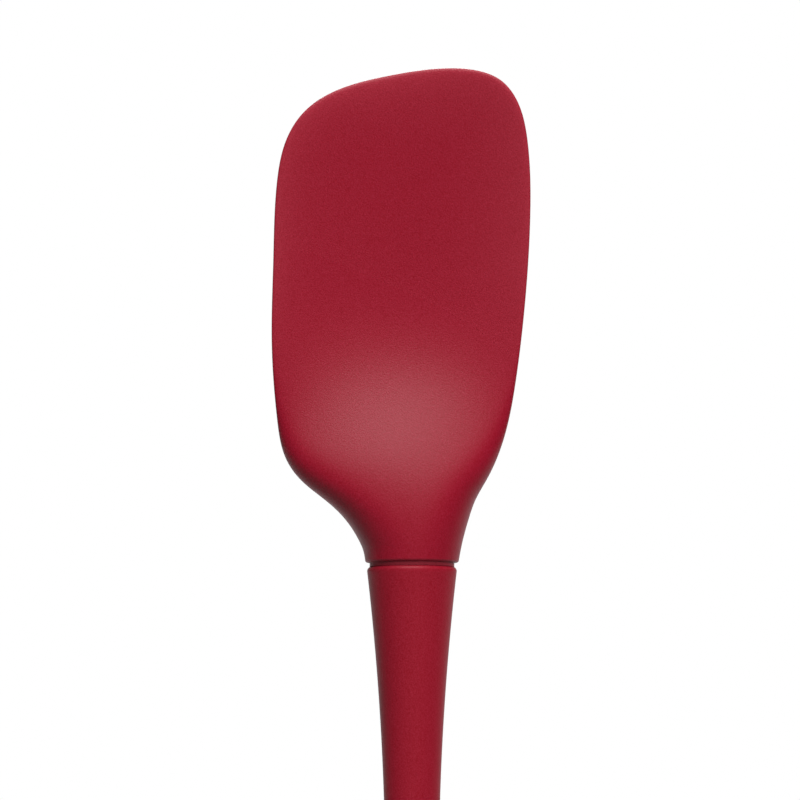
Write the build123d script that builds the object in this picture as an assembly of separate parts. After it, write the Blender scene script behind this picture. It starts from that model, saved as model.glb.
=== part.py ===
from build123d import *
import math
import os

# Silicone scraping spoon, in millimetres. It stands upright: +Z runs along the handle to the
# blade's tip, the hollow of the blade faces -Y, and the origin is the middle of the hanging hole.

# Whole tool
head_length = 109.0
grip_length = 180.0
collar_height = 0.9

# Silicone head: round neck at the bottom, thin dished blade above
head_width = 57.0
lip_radius = 10.2
lip_round = 0.7
blade_thickness = 4.2
rim_thickness = 1.6
bowl_setback = 5.2
dish_depth = 5.0
tip_lean = 7.9

# Blade insert: stiff perforated paddle moulded inside the head, with a socket in its neck
neck_skin = 2.2
rim_margin = 9.0
tip_margin = 11.0
plate_thickness = 1.6
boss_length = 40.0
bond_slot_width = 5.0
bond_slots = 3

# Tenon of the handle core, which the socket holds
tenon_length = 20.0
tenon_width = 10.5
tenon_depth = 6.0
tenon_corner = 1.4
tenon_lead = 0.8
barb_height = 0.5
barb_run = 3.0
socket_clearance = 0.1

# Grip sleeve: silicone skin round the handle core
grip_top_radius = 9.95
grip_edge_round = 0.7
waist_radius = 5.85
palm_half_width = 9.6
palm_half_depth = 7.4
end_half_depth = 5.5
end_round = 11.0
end_edge_round = 4.5
sleeve_wall = 2.2

# Handle core: ribbed rod with a collar at the top and an eye at the bottom
collar_radius = 9.3
plug_height = 9.0
rib_thickness = 2.4
disc_thickness = 2.2
disc_count = 3
eye_wall = 2.4

# Hanging hole through the grip's end
hole_radius = 3.2
hole_inset = 13.0
hole_lining = 1.5
hole_chamfer = 0.8

# Outline of the head seen from the front: how far up, then how far out. The neck tables go
# from the lip to the widest place, the crown tables from the tip to the widest place.
left_reach_share = 0.542
tip_offset_share = 0.295
left_neck_shares = [
    (0.026, 0.026),
    (0.046, 0.073),
    (0.086, 0.210),
    (0.1265, 0.431),
    (0.167, 0.689),
    (0.207, 0.839),
    (0.288, 0.939),
    (0.449, 0.999),
]
left_crown_shares = [
    (0.611, 0.991),
    (0.772, 0.969),
    (0.853, 0.918),
    (0.913, 0.810),
    (0.954, 0.641),
    (0.984, 0.362),
]
right_crown_shares = [
    (0.994, 0.365),
    (0.974, 0.640),
    (0.933, 0.836),
    (0.853, 0.964),
    (0.706, 1.000),
]
right_neck_shares = [
    (0.530, 0.930),
    (0.3685, 0.799),
    (0.2475, 0.6245),
    (0.167, 0.391),
    (0.1265, 0.237),
    (0.086, 0.139),
    (0.046, 0.063),
]

# How fast the neck flattens, its edges thin out and the bowl falls back, as shares of the
# head's length, and the powers that shape these curves
flatten_share = 0.2725
edge_thinning_share = 0.211
bowl_share = 0.33
thinning_power = 2.6
bowl_power = 3.0
lean_power = 3.4
taper_power = 8
crowding_share = 0.4

# The insert's boss and bond slots, and the barbs on the tenon
boss_end_share = 0.55
bond_slot_shares = (0.46, 0.83)
bond_spread_share = 0.27
barb_seat_shares = (0.35, 0.70)
barb_width_share = 0.55

# Places down the grip
waist_share = 0.385
palm_share = 0.70
broad_share = 0.82

# Fineness of the drawn curves
outline_steps = 600
head_rows = 26
head_row_points = 24
first_turn = 0.5
lip_rows = 4
slab_sections = 9
boss_sections = 5
palm_sections = 16

# Places and sizes that follow
grip_end_z = -hole_inset
grip_top_z = grip_end_z + grip_length
head_base_z = grip_top_z + collar_height
waist_z = grip_top_z - grip_length * waist_share
palm_z = grip_top_z - grip_length * palm_share
broad_z = grip_top_z - grip_length * broad_share
flat_z = hole_inset
left_reach = head_width * left_reach_share
right_reach = head_width - left_reach
tip_offset = right_reach * tip_offset_share
blade_middle = (right_reach - left_reach) / 2
insert_length = head_length - tip_margin
insert_left = left_reach - rim_margin
insert_right = right_reach - rim_margin
insert_base = lip_radius - neck_skin
eye_bore = hole_radius + hole_lining
eye_radius = eye_bore + eye_wall
overrun = head_width


def outline(base, left, right, length):
    """Curve round the head or its insert seen from the front, from one side of the base up
    over the tip and down to the other side."""
    points = [(-base, 0)]
    for rise, flare in left_neck_shares:
        points.append((-base - (left - base) * flare, length * rise))
    for rise, spread in left_crown_shares:
        points.append((tip_offset - (left + tip_offset) * spread, length * rise))
    points.append((tip_offset, length))
    for rise, spread in right_crown_shares:
        points.append((tip_offset + (right - tip_offset) * spread, length * rise))
    for rise, flare in right_neck_shares:
        points.append((base + (right - base) * flare, length * rise))
    points.append((base, 0))
    return Spline(*points)


def crossing(flank, height):
    """Sideways place where a flank, listed upwards, reaches a height."""
    for low, high in zip(flank, flank[1:]):
        if low.Y <= height <= high.Y:
            share = (height - low.Y) / (high.Y - low.Y)
            return low.X + (high.X - low.X) * share
    return flank[-1].X


def rim_distance(rim, x, height):
    """Shortest way from a place on the blade to its outline, taken as short straight runs."""
    shortest = head_length
    for start, end in zip(rim, rim[1:]):
        run_x = end.X - start.X
        run_y = end.Y - start.Y
        along = (x - start.X) * run_x + (height - start.Y) * run_y
        share = min(1, max(0, along / (run_x**2 + run_y**2)))
        gap = math.hypot(start.X + run_x * share - x, start.Y + run_y * share - height)
        shortest = min(shortest, gap)
    return shortest


def left_over(height, reach_share):
    """Share of a neck size that is left at a height: whole at the lip, gone on the blade."""
    return math.exp(-((height / (head_length * reach_share)) ** thinning_power))


def setback(x, height):
    """How far the blade's mid surface lies behind the handle's axis: a dish, leaning forward."""
    bowl = 1 - math.exp(-((height / (head_length * bowl_share)) ** bowl_power))
    lean = (height / head_length) ** lean_power
    across = (x - blade_middle) / (head_width / 2)
    return (bowl_setback - dish_depth * across**2) * bowl - tip_lean * lean


def head_row(rim, low_x, high_x, height):
    """Points round the head at one height: two faces that meet in a round nose."""
    half_width = (high_x - low_x) / 2
    centre = (high_x + low_x) / 2
    roundness = left_over(height, edge_thinning_share)
    nose = rim_thickness / 2 + (lip_radius - rim_thickness / 2) * roundness
    taper = (height / head_length) ** taper_power
    middle = blade_thickness / 2 - (blade_thickness - rim_thickness) / 2 * taper
    middle += (lip_radius - blade_thickness / 2) * left_over(height, flatten_share)
    crowding = crowding_share * (1 - roundness)
    points = []
    for place in range(head_row_points):
        angle = 2 * math.pi * place / head_row_points
        across = math.cos(angle) * (1 + crowding * math.sin(angle) ** 2)
        x = centre + half_width * across
        if place in (0, head_row_points // 2):
            thick = 0
        else:
            near_flank = abs(across) ** (2 * half_width / nose)
            near_rim = math.exp(-2 * rim_distance(rim, x, height) / nose)
            near_edge = near_flank * roundness + near_rim * (1 - roundness)
            thick = nose * math.sqrt(1 - near_edge) + (middle - nose) * (1 - across**2)
        points.append((x, setback(x, height) + math.copysign(thick, math.sin(angle)), height))
    return points


def closed_curve(points):
    """Smooth closed wire through points that are evenly spaced in its parameter."""
    count = len(points)
    steps = [place / count for place in range(count + 1)]
    return Wire([Edge.make_spline(points, periodic=True, parameters=steps)])


def head_blade():
    """Loft of the head above its lip, from the round neck up to the thin blade's closed tip.
    Returns the loft and its lowest row of points."""
    curve = outline(lip_radius, left_reach, right_reach, head_length)
    rim = [curve @ (step / outline_steps) for step in range(outline_steps + 1)]
    top = max(range(len(rim)), key=lambda place: rim[place].Y)
    left_flank = rim[: top + 1]
    right_flank = rim[: top - 1 : -1]
    reach = 1 + math.cos(first_turn)
    rows = []
    for step in range(head_rows):
        turn = first_turn + (math.pi - first_turn) * step / head_rows
        share = (math.cos(first_turn) - math.cos(turn)) / reach
        height = lip_round + (head_length - lip_round) * share
        low_x = crossing(left_flank, height)
        high_x = crossing(right_flank, height)
        rows.append(head_row(rim, low_x, high_x, height))
    tip = rim[top]
    sections = [closed_curve(row) for row in rows]
    sections.append(Vertex(tip.X, setback(tip.X, tip.Y), tip.Y))
    return Solid.make_loft(sections), rows[0]


def head_lip(row):
    """Rounded lip under the blade's lowest row, which it meets with the same curve."""
    sections = []
    for step in range(lip_rows):
        turn = math.pi / 2 * step / (lip_rows - 1)
        height = lip_round * (1 - math.cos(turn))
        share = 1 - lip_round / lip_radius * (1 - math.sin(turn))
        sections.append(closed_curve([(x * share, y * share, height) for x, y, top in row]))
    return Solid.make_loft(sections)


def sagging_row(shift, height):
    """Control points of the parabola that the dish makes across the blade at one height."""
    left_y = setback(-left_reach, height) + shift
    right_y = setback(right_reach, height) + shift
    middle_y = setback(blade_middle, height) + shift
    pull_y = 2 * middle_y - (left_y + right_y) / 2
    return [(-left_reach, left_y, height), (blade_middle, pull_y, height), (right_reach, right_y, height)]


def insert_slab():
    """Sheet of even thickness along the blade's mid surface, wider than the insert all round."""
    sections = []
    for step in range(slab_sections):
        height = head_length * (step + 1) / slab_sections
        front = sagging_row(-plate_thickness / 2, height)
        back = sagging_row(plate_thickness / 2, height)
        edges = [Edge.make_bezier(*front), Edge.make_bezier(*back)]
        edges.append(Edge.make_line(front[0], back[0]))
        edges.append(Edge.make_line(front[-1], back[-1]))
        sections.append(Wire(edges))
    return Solid.make_loft(sections)


def insert_boss():
    """Round root of the insert, which holds the socket and flattens away into the plate."""
    end_half_width = insert_base * boss_end_share
    end_half_depth = plate_thickness / 4
    sections = []
    for step in range(boss_sections):
        share = step / (boss_sections - 1)
        height = boss_length * share
        half_width = insert_base + (end_half_width - insert_base) * share**2
        half_depth = insert_base + (end_half_depth - insert_base) * share**2
        place = Pos(0, setback(0, height), height)
        sections.append((place * Ellipse(half_width, half_depth)).wire())
    return Solid.make_loft(sections)


def insert_windows():
    """Long slots through the plate that the silicone flows through to bond its two faces."""
    low_share, high_share = bond_slot_shares
    length = insert_length * (high_share - low_share)
    z = insert_length * (high_share + low_share) / 2
    windows = []
    for column in range(bond_slots):
        step = column - (bond_slots - 1) / 2
        x = blade_middle + (insert_left + insert_right) * bond_spread_share * step
        slot = Plane.XZ * Pos(x, z) * Rot(0, 0, 90) * SlotOverall(length, bond_slot_width)
        windows.append(extrude(slot, overrun, both=True))
    return windows


def make_insert_blank():
    """Insert without its socket: a boss and a plate cut to the insert's outline, with windows."""
    curve = outline(insert_base, insert_left, insert_right, insert_length)
    foot = Line(curve @ 1, curve @ 0)
    cookie = extrude(Plane.XZ * make_face(curve + foot), overrun, both=True)
    blank = (insert_slab() & cookie) - insert_windows() + insert_boss()
    return Pos(0, 0, head_base_z) * blank


def tenon(growth):
    """Flat peg with sloped barbs on its broad sides. Grown all round, it cuts its own socket."""
    width = tenon_width + 2 * growth
    depth = tenon_depth + 2 * growth
    height = tenon_length + growth
    peg = extrude(RectangleRounded(width, depth, tenon_corner + growth), height)
    peg = chamfer(peg.faces().sort_by(Axis.Z)[-1].edges(), tenon_lead)
    for seat in barb_seat_shares:
        foot = tenon_length * seat
        tooth = Plane.YZ * Polygon(
            (depth / 2, foot),
            (depth / 2 + barb_height, foot),
            (depth / 2, foot + barb_run),
            (-depth / 2, foot + barb_run),
            (-depth / 2 - barb_height, foot),
            (-depth / 2, foot),
            align=None,
        )
        peg += extrude(tooth, tenon_width * barb_width_share / 2 + growth, both=True)
    return Pos(0, 0, head_base_z) * peg


def cap(left, reach):
    """Quarter-round fall to nothing over the last stretch before an end."""
    return math.sqrt(1 - (1 - min(1, left / reach)) ** 2)


def ease(share):
    """Smooth rise from nothing to one."""
    return (1 - math.cos(math.pi * min(1, max(0, share)))) / 2


def grip_neck(inset):
    """Round upper grip: its side is a parabola that runs out straight at the waist."""
    top = (grip_top_radius - inset, 0, grip_top_z)
    waist = (waist_radius - inset, 0, waist_z)
    pull = (waist_radius - inset, 0, (grip_top_z + waist_z) / 2)
    side = Bezier(top, pull, waist)
    rest = Polyline(waist, (0, 0, waist_z), (0, 0, grip_top_z), top)
    return revolve(make_face(side + rest), Axis.Z)


def palm_section(z, inset):
    """Ellipse round the lower grip at a height, drawn in by an inset."""
    spread = ease((waist_z - z) / (waist_z - broad_z))
    swell = ease((waist_z - z) / (waist_z - palm_z))
    flatten = ease((palm_z - z) / (palm_z - flat_z))
    half_width = waist_radius + (palm_half_width - waist_radius) * spread
    half_depth = waist_radius + (palm_half_depth - waist_radius) * swell
    half_depth += (end_half_depth - palm_half_depth) * flatten
    left = z - grip_end_z - inset
    half_width = (half_width - inset) * cap(left, end_round)
    half_depth = (half_depth - inset) * cap(left, end_edge_round)
    return (Pos(0, 0, z) * Ellipse(half_width, half_depth)).wire()


def grip_form(inset):
    """Whole grip, drawn in by an inset: round neck, thin waist, broad palm and a closed end."""
    reach = waist_z - grip_end_z - inset
    sections = []
    for step in range(palm_sections):
        z = waist_z - reach * math.sin(math.pi / 2 * step / palm_sections)
        sections.append(palm_section(z, inset))
    sections.append(Vertex(0, 0, waist_z - reach))
    return grip_neck(inset) + Solid.make_loft(sections)


def make_head(blank):
    """Silicone skin round the insert, which also fills the insert's windows."""
    blade, lowest_row = head_blade()
    return Pos(0, 0, head_base_z) * (blade + head_lip(lowest_row)) - blank


def make_handle_core():
    """Cross of ribs with discs, a plug and collar above, a tenon on top and an eye below."""
    plug_z = grip_top_z - plug_height
    rib_height = plug_z
    cross = Box(overrun, rib_thickness, rib_height) + Box(rib_thickness, overrun, rib_height)
    skeleton = Pos(0, 0, rib_height / 2) * cross
    skeleton += Pos(0, 0, plug_z + plug_height / 2) * Box(overrun, overrun, plug_height)
    skeleton += Rot(90, 0, 0) * Cylinder(eye_radius, overrun)
    for place in range(disc_count):
        z = eye_radius + (plug_z - eye_radius) * (place + 1) / (disc_count + 1)
        skeleton += Pos(0, 0, z) * Box(overrun, overrun, disc_thickness)
    core = skeleton & grip_form(sleeve_wall)
    core -= Rot(90, 0, 0) * Cylinder(eye_bore, overrun)
    core += Pos(0, 0, grip_top_z + collar_height / 2) * Cylinder(collar_radius, collar_height)
    return core + tenon(0)


def hanging_hole():
    """Cutter for the hanging hole: a straight bore with chamfered mouths."""
    straight = end_half_depth - hole_chamfer
    mouth = hole_radius + hole_chamfer + overrun
    deep = end_half_depth + overrun
    half = Polyline((0, 0), (hole_radius, 0), (hole_radius, straight), (mouth, deep), (0, deep), (0, 0))
    cutter = revolve(make_face(half), Axis.Y)
    return cutter + mirror(cutter, Plane.XZ)


def make_grip_sleeve(core):
    """Silicone skin that fills the core's pockets and lines its eye as the hanging hole."""
    skin = grip_form(0)
    top = skin.faces().sort_by(Axis.Z)[-1].edges()
    return fillet(top, grip_edge_round) - hanging_hole() - core


insert_blank = make_insert_blank()
blade_insert = insert_blank - tenon(socket_clearance)
silicone_head = make_head(insert_blank)
handle_core = make_handle_core()
grip_sleeve = make_grip_sleeve(handle_core)

os.makedirs("parts", exist_ok=True)
export_step(silicone_head, "parts/silicone_head.step")
export_step(blade_insert, "parts/blade_insert.step")
export_step(handle_core, "parts/handle_core.step")
export_step(grip_sleeve, "parts/grip_sleeve.step")
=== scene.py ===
# %% [markdown]
# # A silicone spatula, surface by surface
# The real tool is two stiff nylon mouldings with soft silicone over each. The head is silicone
# round a thin plate; the grip is silicone round a ribbed core; a tenon joins the two halves, and
# a dark groove shows where they meet. The frame that is loaded first holds all four pieces as
# CAD solids. Here the two silicone pieces are drawn again as fine surfaces, and every piece gets
# its finish.

# %% Load the frame
import math

import bmesh
import bpy
import numpy as np
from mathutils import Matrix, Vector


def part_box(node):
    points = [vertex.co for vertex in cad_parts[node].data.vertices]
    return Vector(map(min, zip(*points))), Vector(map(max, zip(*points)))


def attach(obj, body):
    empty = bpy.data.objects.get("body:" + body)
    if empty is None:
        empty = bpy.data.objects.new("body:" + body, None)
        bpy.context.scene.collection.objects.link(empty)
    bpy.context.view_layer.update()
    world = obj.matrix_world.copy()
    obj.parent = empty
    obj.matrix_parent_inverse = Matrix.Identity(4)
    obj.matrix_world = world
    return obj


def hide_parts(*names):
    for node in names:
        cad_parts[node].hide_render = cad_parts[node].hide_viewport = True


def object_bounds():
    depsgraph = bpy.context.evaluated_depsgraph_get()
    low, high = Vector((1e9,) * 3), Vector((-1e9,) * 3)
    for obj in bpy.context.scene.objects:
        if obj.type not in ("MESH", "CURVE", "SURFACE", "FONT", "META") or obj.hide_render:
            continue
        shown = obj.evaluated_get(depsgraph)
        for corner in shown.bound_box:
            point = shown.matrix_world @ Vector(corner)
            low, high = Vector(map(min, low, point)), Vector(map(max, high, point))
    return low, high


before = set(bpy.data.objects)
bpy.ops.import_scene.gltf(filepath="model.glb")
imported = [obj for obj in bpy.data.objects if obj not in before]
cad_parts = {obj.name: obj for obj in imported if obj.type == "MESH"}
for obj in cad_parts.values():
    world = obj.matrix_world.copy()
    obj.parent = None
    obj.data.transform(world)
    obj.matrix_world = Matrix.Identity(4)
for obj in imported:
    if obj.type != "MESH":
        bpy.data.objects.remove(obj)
cad_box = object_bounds()
head_low, head_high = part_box("silicone_head")
grip_low, grip_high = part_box("grip_sleeve")
print("frame:", sorted(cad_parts), "box", cad_box)

# %% [markdown]
# ## Sizes of the head
# Blender works in metres, in the frame of the CAD solids: the handle stands along Z, the blade's
# hollow looks towards -Y, and the origin is the middle of the hanging hole. Heights come from the
# frame's boxes. The other sizes are the ones that a maker would write on the drawing. A value
# that ends in share is a part of the size that it follows, so the shape keeps its proportions
# when that size changes.

# %% Sizes of the head
head_base = head_low[2]
head_length = head_high[2] - head_base
head_width = 0.057
left_reach_share = 0.542
tip_offset_share = 0.295
lip_radius = 0.0102
lip_round = 0.0005
blade_thickness = 0.0042
rim_thickness = 0.0016
bowl_setback = 0.0052
dish_depth = 0.005
tip_lean = 0.0079

left_reach = head_width * left_reach_share
right_reach = head_width - left_reach
tip_offset = right_reach * tip_offset_share
blade_middle = (right_reach - left_reach) / 2
print("head: from", round(head_base, 4), "length", round(head_length, 4), "width", head_width)

# %% [markdown]
# ## The outline of the head
# Seen from the front, the head is one closed curve: a round neck flares into the blade, the left
# side runs nearly straight, and the top slants up to a corner on the right. A drawing office
# would fix a few points and lay a smooth curve through them. Each point is written as a share of
# the head's size: how far up, and how far out. A cubic spline joins them without a kink, because
# its slope and its bend are the same on both sides of every point.

# %% Points of the outline
# Each pair is how far up and how far out. On the neck, out runs from the lip's side to the
# blade's full reach on that side. On the crown it runs from under the tip to that reach.
left_neck_shares = np.array(
    [
        (0.026, 0.026),
        (0.046, 0.073),
        (0.086, 0.210),
        (0.1265, 0.431),
        (0.167, 0.689),
        (0.207, 0.839),
        (0.288, 0.939),
        (0.449, 0.999),
    ]
)
left_crown_shares = np.array(
    [(0.611, 0.991), (0.772, 0.969), (0.853, 0.918), (0.913, 0.810), (0.954, 0.641), (0.984, 0.362)]
)
right_crown_shares = np.array(
    [(0.994, 0.365), (0.974, 0.640), (0.933, 0.836), (0.853, 0.964), (0.706, 1.000)]
)
right_neck_shares = np.array(
    [
        (0.530, 0.930),
        (0.3685, 0.799),
        (0.2475, 0.6245),
        (0.167, 0.391),
        (0.1265, 0.237),
        (0.086, 0.139),
        (0.046, 0.063),
    ]
)


def outline_points():
    """Corner points of the outline, from the lip's left side over the tip to its right side."""
    left_neck, left_out = left_neck_shares.T
    left_crown, left_crown_out = left_crown_shares.T
    right_crown, right_crown_out = right_crown_shares.T
    right_neck, right_out = right_neck_shares.T
    x = np.concatenate(
        [
            [-lip_radius],
            -lip_radius - (left_reach - lip_radius) * left_out,
            tip_offset - (left_reach + tip_offset) * left_crown_out,
            [tip_offset],
            tip_offset + (right_reach - tip_offset) * right_crown_out,
            lip_radius + (right_reach - lip_radius) * right_out,
            [lip_radius],
        ]
    )
    rises = np.concatenate([[0], left_neck, left_crown, [1], right_crown, right_neck, [0]])
    return np.column_stack([x, head_length * rises])


# %% Smooth curve through the points
outline_steps = 401


def smooth_curve(points, steps):
    """Cubic spline through points, at even steps of chord length. The slopes at the points
    solve one set of equations: the bend just before each point equals the bend just after.
    Between two points a cubic keeps both places and both slopes."""
    gaps = np.linalg.norm(np.diff(points, axis=0), axis=1)
    places = np.concatenate([[0], np.cumsum(gaps)])
    rates = np.diff(points, axis=0) / gaps[:, None]
    count = len(points)
    matrix = np.zeros((count, count))
    target = np.zeros_like(points)
    inner = np.arange(1, count - 1)
    matrix[inner, inner - 1] = gaps[1:]
    matrix[inner, inner] = 2 * (gaps[:-1] + gaps[1:])
    matrix[inner, inner + 1] = gaps[:-1]
    target[inner] = 3 * (gaps[1:, None] * rates[:-1] + gaps[:-1, None] * rates[1:])
    matrix[0, :2] = (2, 1)
    matrix[-1, -2:] = (1, 2)
    target[0] = 3 * rates[0]
    target[-1] = 3 * rates[-1]
    slopes = np.linalg.solve(matrix, target)
    wanted = np.linspace(0, places[-1], steps)
    span = np.clip(np.searchsorted(places, wanted, side="right") - 1, 0, count - 2)
    t = ((wanted - places[span]) / gaps[span])[:, None]
    reach = gaps[span][:, None]
    start = (2 * t**3 - 3 * t**2 + 1) * points[span] + (t**3 - 2 * t**2 + t) * reach * slopes[span]
    end = (3 * t**2 - 2 * t**3) * points[span + 1] + (t**3 - t**2) * reach * slopes[span + 1]
    return start + end


rim = smooth_curve(outline_points(), outline_steps)
tip_place = int(np.argmax(rim[:, 1]))
left_flank = rim[: tip_place + 1]
right_flank = rim[tip_place:][::-1]
tip_x, tip_height = rim[tip_place]
print("outline:", len(rim), "points, width", round(np.ptp(rim[:, 0]), 5))

# %% [markdown]
# ## The head as a stack of rings
# The neck is round like a rod, and the blade is a dished sheet with a soft round rim. A box could
# be subdivided and pulled into this shape, but its rim would drift off the outline. One formula
# covers rod and sheet if each height gets its own closed ring, and the numbers that shape a ring
# change gently on the way up. The middle of the ring follows a dish that leans forward at the
# tip. Its two faces part by a thickness that closes in a round nose at the rim.

# %% Gentle changes up the head
thinning_power = 2.6
bowl_share = 0.36
bowl_power = 3.0
lean_power = 3.4


def left_over(height, reach_share):
    """Whole at the lip and gone on the blade: e to the power of minus the height over the reach,
    raised to the thinning power."""
    return np.exp(-((height / (head_length * reach_share)) ** thinning_power))


def setback(x, height):
    """How far the blade's middle sheet lies behind the handle's axis: a parabola across, which
    grows up the neck, less a forward lean that grows towards the tip."""
    bowl = 1 - np.exp(-((height / (head_length * bowl_share)) ** bowl_power))
    lean = (height / head_length) ** lean_power
    across = (x - blade_middle) / (head_width / 2)
    return (bowl_setback - dish_depth * across**2) * bowl - tip_lean * lean


def rim_distance(x, height):
    """Shortest way from each place to the outline, taken as short straight runs. Each run is
    compared with all places at once: the nearest point of a run is at a clipped share along it."""
    shortest = np.full(x.shape, head_length)
    for start, end in zip(rim[:-1], rim[1:]):
        run = end - start
        along = ((x - start[0]) * run[0] + (height - start[1]) * run[1]) / (run @ run)
        share = np.clip(along, 0, 1)
        gap = np.hypot(start[0] + run[0] * share - x, start[1] + run[1] * share - height)
        shortest = np.minimum(shortest, gap)
    return shortest


print("dish: middle lies", round(setback(blade_middle, head_length / 2), 5), "behind the axis")

# %% Thickness of the head
edge_thinning_share = 0.211
flatten_share = 0.305
taper_power = 8


def half_thickness(height, across, half_width, edge_gap):
    """Half the thickness at each place: a round nose along the rim, and a parabola across that
    stands on it and makes the middle thicker. The nose is its radius times the square root of
    1 - e^(-2 gap / radius), which starts as steeply as a circle does. On the round neck a power
    of the place across stands in for the e. Nose and middle both begin as the lip's radius."""
    roundness = left_over(height, edge_thinning_share)
    nose = rim_thickness / 2 + (lip_radius - rim_thickness / 2) * roundness
    taper = (height / head_length) ** taper_power
    middle = blade_thickness / 2 - (blade_thickness - rim_thickness) / 2 * taper
    middle = middle + (lip_radius - blade_thickness / 2) * left_over(height, flatten_share)
    near_flank = np.abs(across) ** (2 * half_width / nose)
    near_rim = np.exp(-2 * edge_gap / nose)
    near_edge = np.clip(near_flank * roundness + near_rim * (1 - roundness), 0, 1)
    return nose * np.sqrt(1 - near_edge) + (middle - nose) * (1 - across**2)


# %% Rings of the head
head_rings = 230
head_around = 208
lip_rings = 7
first_turn = 0.5
crowding_share = 0.4
rim_roll_share = 0.3
roll_reach = 0.0015


def head_surface():
    """Rings from the lip to the tip, at heights that follow a cosine and so crowd at the tip.
    Round each ring an angle a gives the place across: cos a, pushed out on the blade so that the
    points crowd at the rim. Front and back lie half a thickness from the dish. At the rim the
    front loses three tenths of that, and less and less further in, so its edge is the softer."""
    turn = np.linspace(first_turn, math.pi, head_rings, endpoint=False)
    share = (math.cos(first_turn) - np.cos(turn)) / (1 + math.cos(first_turn))
    height = (lip_round + (head_length - lip_round) * share)[:, None]
    low_x = np.interp(height, left_flank[:, 1], left_flank[:, 0])
    high_x = np.interp(height, right_flank[:, 1], right_flank[:, 0])
    half_width = (high_x - low_x) / 2
    angle = np.linspace(0, 2 * math.pi, head_around, endpoint=False)[None, :]
    roundness = left_over(height, edge_thinning_share)
    across = np.cos(angle) * (1 + crowding_share * (1 - roundness) * np.sin(angle) ** 2)
    x = (high_x + low_x) / 2 + half_width * across
    z = np.broadcast_to(height, x.shape)
    edge_gap = rim_distance(x, z)
    thick = half_thickness(height, across, half_width, edge_gap)
    rolled = rim_roll_share * (1 - roundness) * np.exp(-edge_gap / roll_reach)
    thick = np.where(np.sin(angle) < 0, thick * (1 - rolled), thick)
    thick[:, [0, head_around // 2]] = 0
    y = setback(x, z) + np.sign(np.sin(angle)) * thick
    return np.stack([x, y, z + head_base], axis=2)


def lip_surface(ring):
    """Quarter-round under the lowest ring: the ring shrinks towards the axis as it goes down."""
    turn = np.linspace(0, math.pi / 2, lip_rings, endpoint=False)[:, None]
    share = 1 - lip_round / lip_radius * (1 - np.sin(turn))
    z = head_base + lip_round * (1 - np.cos(turn))
    x = ring[None, :, 0] * share
    return np.stack([x, ring[None, :, 1] * share, np.broadcast_to(z, x.shape)], axis=2)


blade_rings = head_surface()
all_rings = np.concatenate([lip_surface(blade_rings[0]), blade_rings])
print("head:", len(all_rings), "rings of", head_around, "points")

# %% [markdown]
# ## From rings to a mesh
# Rings that lie one above the other become a skin when neighbours are joined by four-sided faces,
# and an end is closed by a fan round one point. The corners of every face are listed
# anticlockwise seen from outside, so the skin faces out without any repair.


# %% Skin over a stack of rings
def ring_faces(rows, around):
    """Corner numbers of the four-sided faces between rings, which are numbered ring by ring."""
    row, step = np.meshgrid(np.arange(rows - 1), np.arange(around), indexing="ij")
    here = row * around + step
    beside = row * around + (step + 1) % around
    return np.stack([here, beside, beside + around, here + around], axis=2).reshape(-1, 4)


def ring_skin(rings, high_point, low_point=None):
    """Points and faces of a stack of rings, with a fan to one point at the top. The bottom gets a
    fan too where it has a low point, and stays open where it has none."""
    rows, around = rings.shape[:2]
    points = rings.reshape(-1, 3)
    faces = ring_faces(rows, around).tolist()
    step = np.arange(around)
    beside = (step + 1) % around
    if low_point is not None:
        faces += np.column_stack([np.full(around, len(points)), beside, step]).tolist()
        points = np.concatenate([points, [low_point]])
    top = (rows - 1) * around
    faces += np.column_stack([np.full(around, len(points)), top + step, top + beside]).tolist()
    return np.concatenate([points, [high_point]]), faces


def make_piece(name, points, faces, node, weld=0):
    """A smooth piece that rides with the handle and stands for a CAD node, which it hides.
    Points nearer to each other than the weld become one."""
    mesh = bpy.data.meshes.new(name)
    mesh.from_pydata(points.tolist(), [], faces)
    if weld:
        joined = bmesh.new()
        joined.from_mesh(mesh)
        bmesh.ops.remove_doubles(joined, verts=joined.verts, dist=weld)
        joined.to_mesh(mesh)
        joined.free()
    mesh.validate()
    mesh.shade_smooth()
    piece = bpy.data.objects.new(name, mesh)
    bpy.context.collection.objects.link(piece)
    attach(piece, "root")
    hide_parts(node)
    print(name, len(mesh.vertices), "points,", len(mesh.polygons), "faces")
    return piece


# %% The head
tip_point = (tip_x, float(setback(tip_x, tip_height)), head_base + tip_height)
base_point = (0, 0, head_base)
head_points, head_faces = ring_skin(all_rings, tip_point, base_point)
head = make_piece("spatula_head", head_points, head_faces, "silicone_head")

# %% [markdown]
# ## Painted light at the margins
# Light shines through thin silicone, so the blade's margins look lighter than its middle, which
# has the dark insert inside. Light that really scatters within the piece would show this too, but
# it renders slowly, and an exported model that carries plain colours would lose it. So this light
# is painted: a number on each point says how much painted light it gets, and the material mixes in
# a lighter red by it. On the right the band is broader: painted light there too, though the
# silicone is no thinner.

# %% Share of painted light
painted_light_reach_left = 0.0045
painted_light_reach_right = 0.015
painted_light_start_share = 0.3
painted_light_rise_share = 0.3


def painted_light_share(points):
    """Share of painted light at each point: e to the power of minus the way to the rim over the
    reach, times a rise from nothing at the neck to whole on the blade. The painted lighter band is
    the broader one on the right, so the reach grows across the blade with the square of the way."""
    height = points[:, 2] - head_base
    rise = np.clip((height / head_length - painted_light_start_share) / painted_light_rise_share, 0, 1)
    across = np.clip((points[:, 0] + left_reach) / head_width, 0, 1)
    reach = painted_light_reach_left + (painted_light_reach_right - painted_light_reach_left) * across**2
    return rise * np.exp(-rim_distance(points[:, 0], height) / reach)


# Painted light: a lighter red near the rim, broader on the right, stored on each point of the head.
painted_light_values = painted_light_share(head_points)
painted_light = head.data.attributes.new("painted_light", "FLOAT", "POINT")
painted_light.data.foreach_set("value", painted_light_values)
print("thin:", round(painted_light_values.mean(), 3), "on average, at most", round(painted_light_values.max(), 3))

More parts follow.
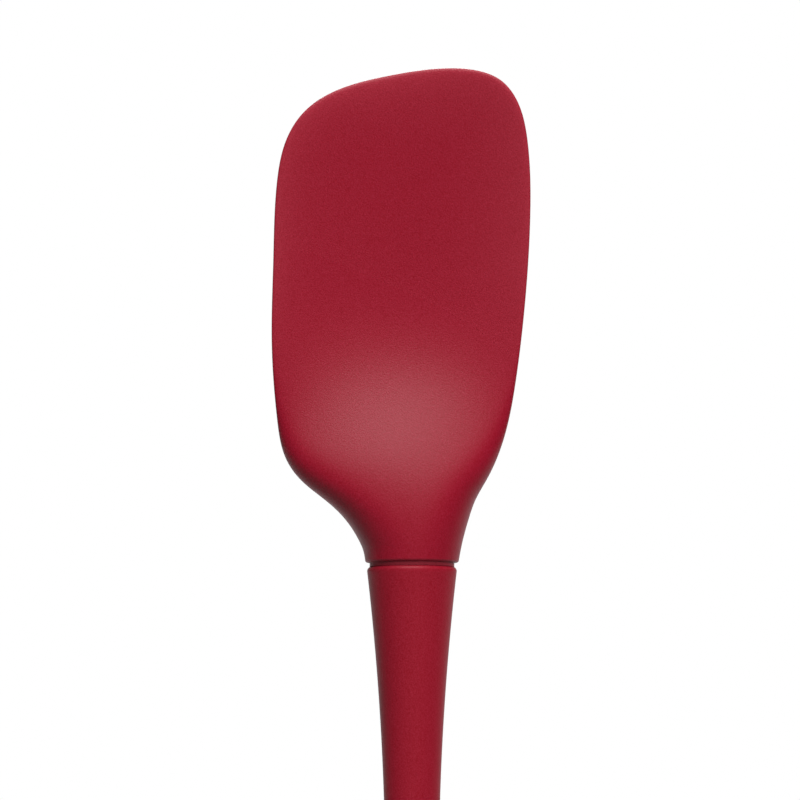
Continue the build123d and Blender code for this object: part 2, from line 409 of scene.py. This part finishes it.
# %% [markdown]
# ## The grip
# The grip is round at the top, thins to a waist, and broadens into a flat palm with a round end
# and a hanging hole. A Boolean cut would make the hole, but it leaves narrow faces that shade
# badly. A stack of rings does for all of the grip except the stretch round the hole, since a ring
# can't pass through a hole. That stretch is two mirrored sheets instead. Each sheet is a fan of
# lines that start at the hole's edge and end on the grip's outline, and both share the outline,
# where they close.

# %% Sizes of the grip
grip_end = grip_low[2]
grip_top = grip_high[2]
grip_length = grip_top - grip_end
grip_top_radius = 0.00995
grip_edge_round = 0.001
waist_radius = 0.00585
palm_half_width = 0.0096
palm_half_depth = 0.0074
end_half_depth = 0.0055
end_round = 0.011
end_edge_round = 0.0045
hole_radius = 0.0032
mouth_round = 0.0009
waist_share = 0.385
palm_share = 0.70
broad_share = 0.82

# Heights of the waist, the deepest and the widest palm, and the flat end. The end is flat from as
# far above the hole as the grip reaches below it.
waist = grip_top - grip_length * waist_share
palm = grip_top - grip_length * palm_share
broad = grip_top - grip_length * broad_share
flat = -grip_end
print("grip: length", round(grip_length, 4), "waist at", round(waist, 4), "palm at", round(palm, 4))


# %% Gentle changes down the grip
def ease(share):
    """Smooth rise from nothing to one: half of (1 - cos)."""
    return (1 - np.cos(math.pi * np.clip(share, 0, 1))) / 2


def cap(left, reach):
    """Quarter-round fall to nothing over the last stretch before an end: the square root of
    1 - (1 - left / reach)^2."""
    return np.sqrt(1 - (1 - np.clip(left / reach, 0, 1)) ** 2)


def grip_half_sizes(z):
    """Half width and half depth of the grip at heights z. Above the waist both follow a parabola;
    below it they ease to the palm's sizes and close in the round end."""
    above = np.clip((z - waist) / (grip_top - waist), 0, 1)
    neck = waist_radius + (grip_top_radius - waist_radius) * above**2
    spread = ease((waist - z) / (waist - broad))
    swell = ease((waist - z) / (waist - palm))
    flatten = ease((palm - z) / (palm - flat))
    half_width = neck + (palm_half_width - waist_radius) * spread
    half_depth = neck + (palm_half_depth - waist_radius) * swell
    half_depth = half_depth + (end_half_depth - palm_half_depth) * flatten
    left = z - grip_end
    return half_width * cap(left, end_round), half_depth * cap(left, end_edge_round)


# %% Rings of the grip above the hole
grip_around = 144
grip_rings = 200
top_edge_steps = 7
patch_top = 0.016


def grip_stack():
    """Ellipses from just above the hole to the top, whose edge ends in a quarter-round."""
    z = np.linspace(patch_top, grip_top - grip_edge_round, grip_rings)[:, None]
    half_width, half_depth = grip_half_sizes(z)
    angle = np.linspace(0, 2 * math.pi, grip_around, endpoint=False)[None, :]
    x = half_width * np.cos(angle)
    y = half_depth * np.sin(angle)
    body = np.stack([x, y, np.broadcast_to(z, x.shape)], axis=2)
    turn = np.linspace(0, math.pi / 2, top_edge_steps + 1)[1:, None]
    top_radius = grip_half_sizes(grip_top - grip_edge_round)[0]
    radius = top_radius - grip_edge_round * (1 - np.cos(turn))
    edge_z = grip_top - grip_edge_round * (1 - np.sin(turn))
    edge_x = radius * np.cos(angle)
    edge_y = radius * np.sin(angle)
    edge = np.stack([edge_x, edge_y, np.broadcast_to(edge_z, edge_x.shape)], axis=2)
    return np.concatenate([body, edge])


# %% Border of the sheets round the hole
end_steps = 120
sheet_rows = 40


def sheet_border():
    """Outline of the stretch round the hole, clockwise seen from the front: along its top edge to
    the right, down the right side, round the end and up the left side."""
    angle = np.linspace(math.pi, 2 * math.pi, grip_around // 2, endpoint=False)
    half_width = grip_half_sizes(np.array(patch_top))[0]
    top = np.column_stack([half_width * np.cos(angle), np.full(angle.shape, patch_top)])
    turn = np.linspace(0, math.pi, end_steps, endpoint=False)
    z = grip_end + (patch_top - grip_end) * (1 - np.sin(turn))
    side = np.sign(np.cos(turn)) * grip_half_sizes(z)[0]
    return np.concatenate([top, np.column_stack([side, z])])


def lines_from_hole(border):
    """Lines from the hole's mouth to the border, row by row. The steps follow a sine and shorten
    towards the border, where the surface turns steep."""
    away = border / np.linalg.norm(border, axis=1)[:, None]
    start = away * (hole_radius + mouth_round)
    share = np.sin(np.linspace(0, math.pi / 2, sheet_rows))[:, None, None]
    return start[None] + (border - start)[None] * share


# %% Sheet and wall of the hole
mouth_steps = 6
bore_steps = 5
least_width = 1e-9


def sheet_depth(x, z):
    """Half depth of the grip at a place on its face: an ellipse across at each height. At the
    very end, where the width is nothing, the least width stands in for it."""
    half_width, half_depth = grip_half_sizes(z)
    across = np.clip(np.abs(x) / np.maximum(half_width, least_width), 0, 1)
    return half_depth * np.sqrt(1 - across**2)


def hole_wall(start, depth):
    """Quarter-round from the mouth's edge into the bore, then the bore down to the middle."""
    away = start / np.linalg.norm(start, axis=1)[:, None]
    turn = np.linspace(0, math.pi / 2, mouth_steps + 1)[1:, None]
    radius = hole_radius + mouth_round * (1 - np.sin(turn))
    y = depth[None, :] - mouth_round * (1 - np.cos(turn))
    rounded = np.stack([radius * away[None, :, 0], y, radius * away[None, :, 1]], axis=2)
    share = np.linspace(1, 0, bore_steps + 1)[1:, None]
    bore_y = share * y[-1][None, :]
    bore_x = np.broadcast_to(hole_radius * away[None, :, 0], bore_y.shape)
    bore_z = np.broadcast_to(hole_radius * away[None, :, 1], bore_y.shape)
    return np.concatenate([rounded, np.stack([bore_x, bore_y, bore_z], axis=2)])


def back_sheet():
    """Rows of the back sheet, from the middle of the bore over the mouth to the outline."""
    x, z = np.moveaxis(lines_from_hole(sheet_border()), 2, 0)
    depth = sheet_depth(x, z)
    start = np.column_stack([x[0], z[0]])
    return np.concatenate([hole_wall(start, depth[0])[::-1], np.stack([x, depth, z], axis=2)])


# %% The grip
weld_gap = 0.000001
mirror_to_front = np.array([1, -1, 1])

back_rows = back_sheet()
front_rows = back_rows * mirror_to_front
sheet_faces = ring_faces(*front_rows.shape[:2])
stack_points, stack_faces = ring_skin(grip_stack(), (0, 0, grip_top))
front_faces = sheet_faces + len(stack_points)
back_faces = sheet_faces[:, ::-1] + len(stack_points) + front_rows[:, :, 0].size
grip_points = np.concatenate([stack_points, front_rows.reshape(-1, 3), back_rows.reshape(-1, 3)])
grip_faces = stack_faces + front_faces.tolist() + back_faces.tolist()
grip = make_piece(
    "spatula_grip", grip_points, grip_faces, "grip_sleeve", weld=weld_gap
)

# %% [markdown]
# ## A fine grain for silicone and nylon
# Silicone and nylon both take a fine grain from the steel of their mould. It could be modelled,
# but it is far smaller than a face of the mesh. A noise in the material tilts the surface
# instead, and the same noise varies the colour a little, so light and colour agree. The noise
# reads the piece's own coordinates and so stays in place on its surface.


# %% Helpers for a finish
def new_finish(name, roughness, refraction):
    """A new material and its shader. Roughness and the index of refraction are the same all over
    the piece, so they are set on the shader itself."""
    material = bpy.data.materials.new(name)
    material.use_nodes = True
    shader = material.node_tree.nodes["Principled BSDF"]
    shader.inputs["Roughness"].default_value = roughness
    shader.inputs["IOR"].default_value = refraction
    return material, shader


def noise(tree, scale, detail):
    """Noise on the piece's own coordinates, so that it stays in place on the surface."""
    coordinates = tree.nodes.new("ShaderNodeTexCoord")
    texture = tree.nodes.new("ShaderNodeTexNoise")
    texture.inputs["Scale"].default_value = scale
    texture.inputs["Detail"].default_value = detail
    tree.links.new(coordinates.outputs["Object"], texture.inputs["Vector"])
    return texture.outputs["Fac"]


def stretch(tree, value, low, high):
    """Spreads the part of a noise between low and high over the whole range from 0 to 1."""
    spread = tree.nodes.new("ShaderNodeMapRange")
    spread.inputs["From Min"].default_value = low
    spread.inputs["From Max"].default_value = high
    tree.links.new(value, spread.inputs["Value"])
    return spread.outputs["Result"]


def blend_colours(tree, share, low, high):
    """Colour between low and high. Each of them is a fixed colour or the output of a node."""
    mixer = tree.nodes.new("ShaderNodeMix")
    mixer.data_type = "RGBA"
    tree.links.new(share, mixer.inputs["Factor"])
    for socket, colour in (("A", low), ("B", high)):
        if isinstance(colour, tuple):
            mixer.inputs[socket].default_value = colour
        else:
            tree.links.new(colour, mixer.inputs[socket])
    return mixer.outputs["Result"]


# %% Grain
grain_detail = 2
grain_low = 0.25
grain_high = 0.75


def grain(tree, shader, per_metre, height, strength):
    """Tilts the shader's surface by a fine noise, and gives the noise back as a share for its
    colour."""
    texture = noise(tree, per_metre, grain_detail)
    bump = tree.nodes.new("ShaderNodeBump")
    bump.inputs["Strength"].default_value = strength
    bump.inputs["Distance"].default_value = height
    tree.links.new(texture, bump.inputs["Height"])
    tree.links.new(bump.outputs["Normal"], shader.inputs["Normal"])
    return stretch(tree, texture, grain_low, grain_high)


# %% [markdown]
# ## Silicone
# Kitchen silicone is matt. Light slides off it in a broad pale bloom, a few specks of dust cling
# to it, and its thin margins look lighter, which is painted here as a lighter red. A sheen could
# stand for the bloom, but a high roughness gives it by itself, in the right place under any lamp.
# Two close reds follow the grain. The specks are the highest peaks of a coarser noise. The head's
# share of painted light mixes the usual reds with lighter ones.

# %% Silicone finish
silicone_refraction = 1.41
silicone_grain_per_metre = 3200
silicone_grain_height = 0.00005
silicone_grain_strength = 0.8
dust_per_metre = 420
dust_detail = 1
dust_low = 0.86
dust_high = 0.92
pale_dust = (0.55, 0.25, 0.28, 1)


def red_silicone(name, reds, roughness, painted_light_reds=None):
    """Matt silicone: two close reds mixed by the grain, and a few pale specks of dust. A piece
    with painted light at its margins has two lighter reds as well, mixed in by its share of painted
    light."""
    material, shader = new_finish(name, roughness, silicone_refraction)
    tree = material.node_tree
    low_red, high_red = reds
    # Painted light: lighter reds mixed in by the head's share of painted light at the margins.
    if painted_light_reds:
        painted_light_node = tree.nodes.new("ShaderNodeAttribute")
        painted_light_node.attribute_name = "painted_light"
        low_red = blend_colours(tree, painted_light_node.outputs["Fac"], low_red, painted_light_reds[0])
        high_red = blend_colours(tree, painted_light_node.outputs["Fac"], high_red, painted_light_reds[1])
    grain_share = grain(
        tree, shader, silicone_grain_per_metre, silicone_grain_height, silicone_grain_strength
    )
    dust = stretch(tree, noise(tree, dust_per_metre, dust_detail), dust_low, dust_high)
    grained_red = blend_colours(tree, grain_share, low_red, high_red)
    tree.links.new(blend_colours(tree, dust, grained_red, pale_dust), shader.inputs["Base Color"])
    print(name, "has", len(tree.nodes), "nodes")
    return material


# %% The two reds
head_roughness = 0.46
grip_roughness = 0.5
head_reds = ((0.27, 0.0, 0.010, 1), (0.345, 0.010, 0.032, 1))
# Lighter reds for the painted light at the head's margins.
painted_light_head_reds = ((0.325, 0.012, 0.026, 1), (0.405, 0.026, 0.050, 1))
grip_reds = ((0.295, 0.0, 0.010, 1), (0.39, 0.014, 0.036, 1))
head.data.materials.append(red_silicone("head_red", head_reds, head_roughness, painted_light_head_reds))
grip.data.materials.append(red_silicone("grip_red", grip_reds, grip_roughness))

# %% [markdown]
# ## Nylon
# The insert is sealed inside the head and the core inside the grip. Only the core's collar shows,
# as the floor of the groove. Both are moulded nylon, with a fainter grain than the silicone and
# no dust. A single flat colour would nearly do for pieces that hardly show, but with the helpers
# at hand a true finish takes only a few lines more. Each node of the frame keeps its mesh and
# only gets the new material.

# %% Nylon finish
nylon_roughness = 0.5
nylon_refraction = 1.45
nylon_grain_per_metre = 2400
nylon_grain_height = 0.00003
nylon_grain_strength = 0.5
core_reds = ((0.27, 0.018, 0.032, 1), (0.33, 0.026, 0.044, 1))
insert_blacks = ((0.016, 0.016, 0.018, 1), (0.026, 0.026, 0.028, 1))


def nylon(name, shades):
    """Moulded nylon: two close shades mixed by a fine noise, which is a faint bump as well."""
    material, shader = new_finish(name, nylon_roughness, nylon_refraction)
    tree = material.node_tree
    grain_share = grain(
        tree, shader, nylon_grain_per_metre, nylon_grain_height, nylon_grain_strength
    )
    tree.links.new(blend_colours(tree, grain_share, *shades), shader.inputs["Base Color"])
    print(name, "has", len(tree.nodes), "nodes")
    return material


def paint(node, material):
    """Puts one material on every slot of a CAD node."""
    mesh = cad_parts[node].data
    mesh.materials.clear()
    mesh.materials.append(material)


paint("handle_core", nylon("core_nylon", core_reds))
paint("blade_insert", nylon("insert_nylon", insert_blacks))

# %% [markdown]
# ## Floor and background
# The tool stands on a pale floor with nothing but white behind it. A photographer hangs a white
# sheet behind the tool and keeps the room in front of it dim, so the red stays deep and only its
# edges catch the white. The world does the same: the camera sees white everywhere, mirrored rays
# see white behind the tool, and the light that falls on the tool from all round is weak. Near the
# tool the floor is a plain pale card that holds the shadow; further out it fades into the white.


# %% Helpers for the world and the floor
def sum_node(tree, operation, first, second):
    """One sum of two values, each of which is a number or the output of a node."""
    node = tree.nodes.new("ShaderNodeMath")
    node.operation = operation
    for socket, value in zip(node.inputs, (first, second)):
        if isinstance(value, (int, float)):
            socket.default_value = value
        else:
            tree.links.new(value, socket)
    return node.outputs[0]


def soft_step(tree, value, low, high):
    """Nothing below low and whole above high, with a smooth change between them."""
    step = tree.nodes.new("ShaderNodeMapRange")
    step.interpolation_type = "SMOOTHSTEP"
    step.inputs["From Min"].default_value = low
    step.inputs["From Max"].default_value = high
    tree.links.new(value, step.inputs["Value"])
    return step.outputs["Result"]


def split_place(tree, output):
    """The three parts of a place or a direction."""
    parts = tree.nodes.new("ShaderNodeSeparateXYZ")
    coordinates = tree.nodes.new("ShaderNodeTexCoord")
    tree.links.new(coordinates.outputs[output], parts.inputs[0])
    return parts.outputs


def white_where(tree, behind):
    """Whole for the camera, and for mirrored rays only where the white sheet hangs behind."""
    rays = tree.nodes.new("ShaderNodeLightPath").outputs
    mirrored = sum_node(tree, "MAXIMUM", rays["Is Glossy Ray"], rays["Is Transmission Ray"])
    sheet = sum_node(tree, "MULTIPLY", mirrored, behind)
    return sum_node(tree, "MAXIMUM", rays["Is Camera Ray"], sheet)


# %% World
# How far a direction points to the back where the sheet begins to show, and where it is whole.
sheet_edge = 0.7
sheet_whole = 0.95
dim_room = 0.06
white_room = 1.0

world = bpy.data.worlds.new("studio")
world.use_nodes = True
bpy.context.scene.world = world
sky = world.node_tree
background = sky.nodes["Background"]
background.inputs["Color"].default_value = (1, 1, 1, 1)
sheet_seen = soft_step(sky, split_place(sky, "Generated")["Y"], sheet_edge, sheet_whole)
brightness = sky.nodes.new("ShaderNodeMapRange")
brightness.inputs["To Min"].default_value = dim_room
brightness.inputs["To Max"].default_value = white_room
sky.links.new(white_where(sky, sheet_seen), brightness.inputs["Value"])
sky.links.new(brightness.outputs["Result"], background.inputs["Strength"])
print("world: seen as", white_room, "and lights as", dim_room)

# %% Floor
# The card is pale to the camera, and darker for the light that it throws back up at the tool.
floor_colour = (0.75, 0.75, 0.75, 1)
floor_bounce = (0.25, 0.25, 0.25, 1)
floor_roughness = 0.8
floor_reach = 3.0
fade_start = 0.12
fade_end = 0.6
floor_z = cad_box[0][2]


def floor_finish():
    """Pale card near the tool and white further out. It throws only a little light upwards."""
    material = bpy.data.materials.new("floor_pale")
    material.use_nodes = True
    tree = material.node_tree
    shader = tree.nodes["Principled BSDF"]
    shader.inputs["Roughness"].default_value = floor_roughness
    rays = tree.nodes.new("ShaderNodeLightPath")
    colour = blend_colours(tree, rays.outputs["Is Camera Ray"], floor_bounce, floor_colour)
    tree.links.new(colour, shader.inputs["Base Color"])
    place = split_place(tree, "Object")
    across = sum_node(tree, "POWER", place["X"], 2)
    along = sum_node(tree, "POWER", place["Y"], 2)
    away = sum_node(tree, "POWER", sum_node(tree, "ADD", across, along), 0.5)
    white_share = white_where(tree, soft_step(tree, place["Y"], fade_start, fade_end))
    fade = sum_node(tree, "MULTIPLY", soft_step(tree, away, fade_start, fade_end), white_share)
    white = tree.nodes.new("ShaderNodeEmission")
    mixer = tree.nodes.new("ShaderNodeMixShader")
    tree.links.new(fade, mixer.inputs[0])
    tree.links.new(shader.outputs[0], mixer.inputs[1])
    tree.links.new(white.outputs[0], mixer.inputs[2])
    tree.links.new(mixer.outputs[0], tree.nodes["Material Output"].inputs["Surface"])
    return material


corners = floor_reach * np.array([(-1, -1), (1, -1), (1, 1), (-1, 1)])
floor_mesh = bpy.data.meshes.new("floor")
floor_mesh.from_pydata([(x, y, floor_z) for x, y in corners.tolist()], [], [(0, 1, 2, 3)])
floor_mesh.materials.append(floor_finish())
floor = bpy.data.objects.new("floor", floor_mesh)
bpy.context.collection.objects.link(floor)
print("floor at", round(floor_z, 4), "fades out", fade_end, "m from the tool")

# %% [markdown]
# ## Lamps
# A broad lamp high in front makes the pale bloom where the bowl turns upwards. A wide fill from
# the front right lights the colour without a highlight of its own. A third lamp stands behind and
# a fourth at the right, so that the back and the side are lit too. Point lamps would need no
# turning towards the tool, but a small source makes small bright spots and hard shadows.

# %% Lamps
aim = (0, 0, (head_base + cad_box[1][2]) / 2)


def turn_towards(way):
    """Turn that points a lamp's own -Z along a direction, with its Y upwards."""
    x, y, z = way
    return (math.atan2(math.hypot(x, y), -z), 0, math.atan2(y, x) - math.pi / 2)


def lamp(name, bearing, rise, away, size, level, shine=True):
    """Square lamp turned towards the head, placed by its bearing from the front, its rise above
    the level and its way off. Its level is 1 where a white card that faces it looks just white.
    A lamp without shine lights the colour but leaves no highlight."""
    data = bpy.data.lights.new(name, "AREA")
    data.size = size
    data.energy = level * (math.pi * away) ** 2
    light = bpy.data.objects.new(name, data)
    turn = math.radians(bearing)
    tilt = math.radians(rise)
    ahead = -math.cos(turn) * math.cos(tilt)
    out = np.array([math.sin(turn) * math.cos(tilt), ahead, math.sin(tilt)])
    light.location = np.array(aim) + out * away
    light.rotation_euler = turn_towards(-out)
    light.visible_glossy = shine
    bpy.context.collection.objects.link(light)
    print(name, "lamp", round(data.energy, 2), "watts")


lamp("key", bearing=1, rise=57, away=0.85, size=0.5, level=0.8)
lamp("fill", bearing=18, rise=22, away=1.3, size=0.6, level=0.53, shine=False)
lamp("back", bearing=185, rise=50, away=1.0, size=0.6, level=0.8)
lamp("side", bearing=122, rise=15, away=1.0, size=0.4, level=0.3, shine=False)

# %% [markdown]
# ## Camera
# The picture shows 176 mm of the tool, from the middle of the upper grip to white above the tip.
# The arcs at the groove bend upwards, so the camera stands a little below it and looks up. Two
# pixels of the picture, the groove's row and the axis's column, tell where the middle lies.

# %% Camera
picture_size = 800
metres_per_pixel = 0.00022
groove_row = 562.7
axis_column = 411.9
distance = 0.95
elevation = math.radians(-5)
nearest_seen = 0.01

centre_x = (picture_size / 2 - axis_column) * metres_per_pixel
centre_z = head_base + (groove_row - picture_size / 2) * metres_per_pixel
camera_y = -distance * math.cos(elevation)
camera_z = centre_z + distance * math.sin(elevation)
camera_data = bpy.data.cameras.new("camera")
camera_data.lens = camera_data.sensor_width * distance / (picture_size * metres_per_pixel)
camera_data.clip_start = nearest_seen
camera = bpy.data.objects.new("camera", camera_data)
camera.location = (centre_x, camera_y, camera_z)
camera.rotation_euler = (math.pi / 2 - elevation, 0, 0)
bpy.context.collection.objects.link(camera)
bpy.context.scene.camera = camera
bpy.context.scene.view_settings.view_transform = "Standard"
print("camera", camera.location, "lens", camera_data.lens)
